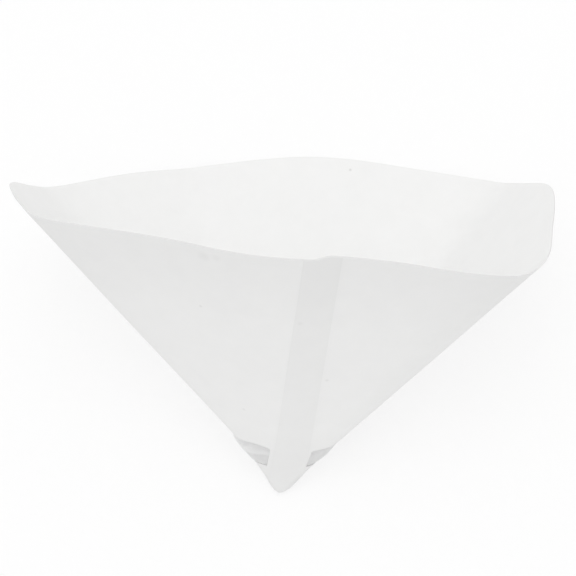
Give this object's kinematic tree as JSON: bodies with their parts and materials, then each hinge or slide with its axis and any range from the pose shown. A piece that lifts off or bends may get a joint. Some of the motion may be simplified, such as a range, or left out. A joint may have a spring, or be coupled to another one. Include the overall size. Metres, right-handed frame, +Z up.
{
  "type": "paint_strainer_cone",
  "caption": "Disposable paper cone strainer, open at the top, with gauze windows near its closed point; pours and filters paint, varnish or other liquids.",
  "frame": {"origin": "centre of the bottom of the overall box, on the surface that the cone lies on", "axes": "+Z up, away from the flat back wall that it lies on; the closed point is towards -Y and the mouth towards +Y; +X to the right seen from the lapped front panel"},
  "size_m": [0.1446, 0.1034, 0.0929],
  "materials": {
    "paper": "matt, uncoated, slightly fibrous",
    "gauze": "fine woven nylon, satin"
  },
  "bodies": {
    "root": {"paper_cone": "paper", "gauze_insert": "gauze"}
  },
  "joints": []
}
